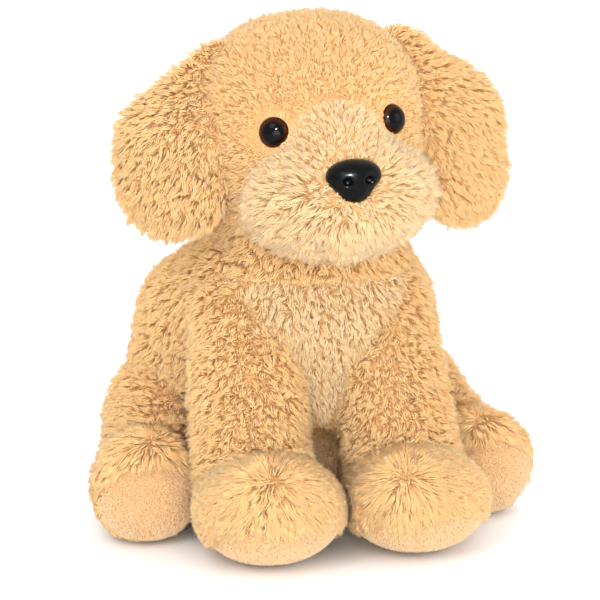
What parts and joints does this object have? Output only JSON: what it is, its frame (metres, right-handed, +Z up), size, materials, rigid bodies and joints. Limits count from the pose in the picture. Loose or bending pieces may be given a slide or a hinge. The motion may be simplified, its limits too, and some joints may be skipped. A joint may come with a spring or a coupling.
{
  "type": "plush dog",
  "caption": "Seated plush puppy with drooping ears, a large round muzzle, moulded eyes and nose, and swinging legs.",
  "frame": {"origin": "on the floor under the middle of the toy's footprint", "axes": "+Z up, the toy faces -Y, its left side is +X"},
  "size_m": [0.2534, 0.2295, 0.2919],
  "materials": {
    "tan_fur": "curly pile, golden tan, darker at the root",
    "pale_fur": "curly pile, cream tan",
    "sole_velour": "short velour",
    "stuffing": "white polyester fibre",
    "pouch_cloth": "plain woven cloth",
    "pellet": "matt pellets",
    "eye_plastic": "polished black with a dark brown ring",
    "nose_plastic": "satin black",
    "washer_plastic": "matt white"
  },
  "bodies": {
    "torso": {"torso_cover": "tan_fur", "belly_panel": "pale_fur", "torso_stuffing": "stuffing", "pellet_pouch": "pouch_cloth", "pellet_fill": "pellet"},
    "neck": {"neck_stuffing": "stuffing"},
    "head": {"head_cover": "tan_fur", "head_stuffing": "stuffing", "muzzle_cover": "pale_fur", "muzzle_stuffing": "stuffing", "eye_left": "eye_plastic", "eye_right": "eye_plastic", "eye_lock_washers": "washer_plastic", "nose": "nose_plastic", "nose_lock_washer": "washer_plastic"},
    "ear_left": {"ear_left_outer": "tan_fur", "ear_left_lining": "pale_fur"},
    "front_leg_left": {"front_leg_left_cover": "tan_fur", "front_leg_left_stuffing": "stuffing", "front_paw_left_cover": "tan_fur", "front_paw_left_sole": "sole_velour"},
    "hind_leg_left": {"thigh_left_cover": "tan_fur", "foot_left_cover": "tan_fur", "foot_left_sole": "sole_velour", "hind_leg_left_stuffing": "stuffing"},
    "ear_right": {"ear_right_outer": "tan_fur", "ear_right_lining": "pale_fur"},
    "front_leg_right": {"front_leg_right_cover": "tan_fur", "front_leg_right_stuffing": "stuffing", "front_paw_right_cover": "tan_fur", "front_paw_right_sole": "sole_velour"},
    "hind_leg_right": {"thigh_right_cover": "tan_fur", "foot_right_cover": "tan_fur", "foot_right_sole": "sole_velour", "hind_leg_right_stuffing": "stuffing"},
    "tail": {"tail_cover": "tan_fur", "tail_stuffing": "stuffing"}
  },
  "joints": [
    {"name": "head_turn", "type": "hinge", "parent": "torso", "child": "neck", "pos_m": [0, -0.01, 0.168], "axis": [0, 0, 1], "range_deg": [-30, 30], "stiffness_Nm_per_rad": 0.4},
    {"name": "head_nod", "type": "hinge", "parent": "neck", "child": "head", "pos_m": [0, -0.01, 0.168], "axis": [1, 0, 0], "range_deg": [-8, 10], "stiffness_Nm_per_rad": 1.2},
    {"name": "ear_left_flap", "type": "hinge", "parent": "head", "child": "ear_left", "pos_m": [0.04528, -0.018, 0.2809], "axis": [-0.7637, -0.6428, -0.0601], "range_deg": [0, 75]},
    {"name": "front_leg_left_swing", "type": "hinge", "parent": "torso", "child": "front_leg_left", "pos_m": [0.042, -0.014, 0.12], "axis": [-1, 0, 0], "range_deg": [0, 40], "stiffness_Nm_per_rad": 0.3},
    {"name": "hind_leg_left_lift", "type": "hinge", "parent": "torso", "child": "hind_leg_left", "pos_m": [0.08, 0.044, 0.049], "axis": [-1, 0, 0], "range_deg": [0, 20], "stiffness_Nm_per_rad": 0.3},
    {"name": "ear_right_flap", "type": "hinge", "parent": "head", "child": "ear_right", "pos_m": [-0.06239, -0.018, 0.27243], "axis": [-0.7637, 0.6428, -0.0601], "range_deg": [0, 75]},
    {"name": "front_leg_right_swing", "type": "hinge", "parent": "torso", "child": "front_leg_right", "pos_m": [-0.042, -0.014, 0.12], "axis": [-1, 0, 0], "range_deg": [0, 40], "stiffness_Nm_per_rad": 0.3},
    {"name": "hind_leg_right_lift", "type": "hinge", "parent": "torso", "child": "hind_leg_right", "pos_m": [-0.08, 0.044, 0.049], "axis": [-1, 0, 0], "range_deg": [0, 20], "stiffness_Nm_per_rad": 0.3},
    {"name": "tail_wag", "type": "hinge", "parent": "torso", "child": "tail", "pos_m": [0, 0.086, 0.022], "axis": [0, 0, 1], "range_deg": [-30, 30], "stiffness_Nm_per_rad": 0.02}
  ]
}
